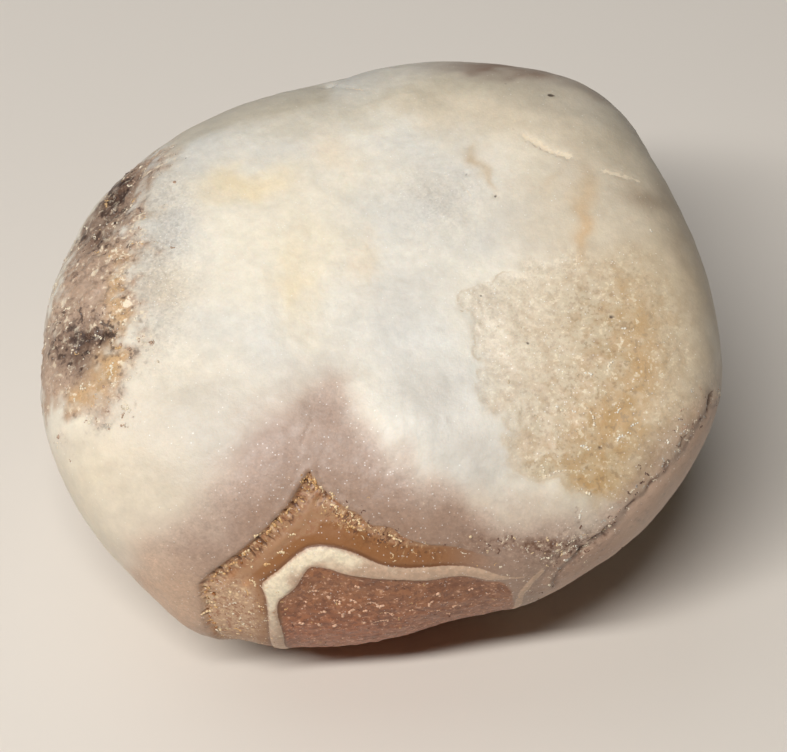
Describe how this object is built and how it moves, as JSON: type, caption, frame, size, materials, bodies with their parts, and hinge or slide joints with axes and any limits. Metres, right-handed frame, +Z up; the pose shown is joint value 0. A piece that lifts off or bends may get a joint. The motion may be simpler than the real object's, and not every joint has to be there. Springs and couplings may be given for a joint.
{
  "type": "rough jasper stone",
  "caption": "Water-worn cobble of rough jasper: a pale waxy chalcedony rind broken away low on one side to show a brown quartz ledge, a cream vein and a red-brown core.",
  "frame": {"origin": "centre of the bounding box's bottom, on the plane of the worn bed the stone lies on", "axes": "+Z up as it lies, +X right along the length, +Y back; the show side with the quartz ledge and vein faces -Y and up"},
  "size_m": [0.072, 0.0678, 0.047],
  "materials": {
    "jasper": "satin"
  },
  "bodies": {
    "root": {"stone": "jasper"}
  },
  "joints": []
}
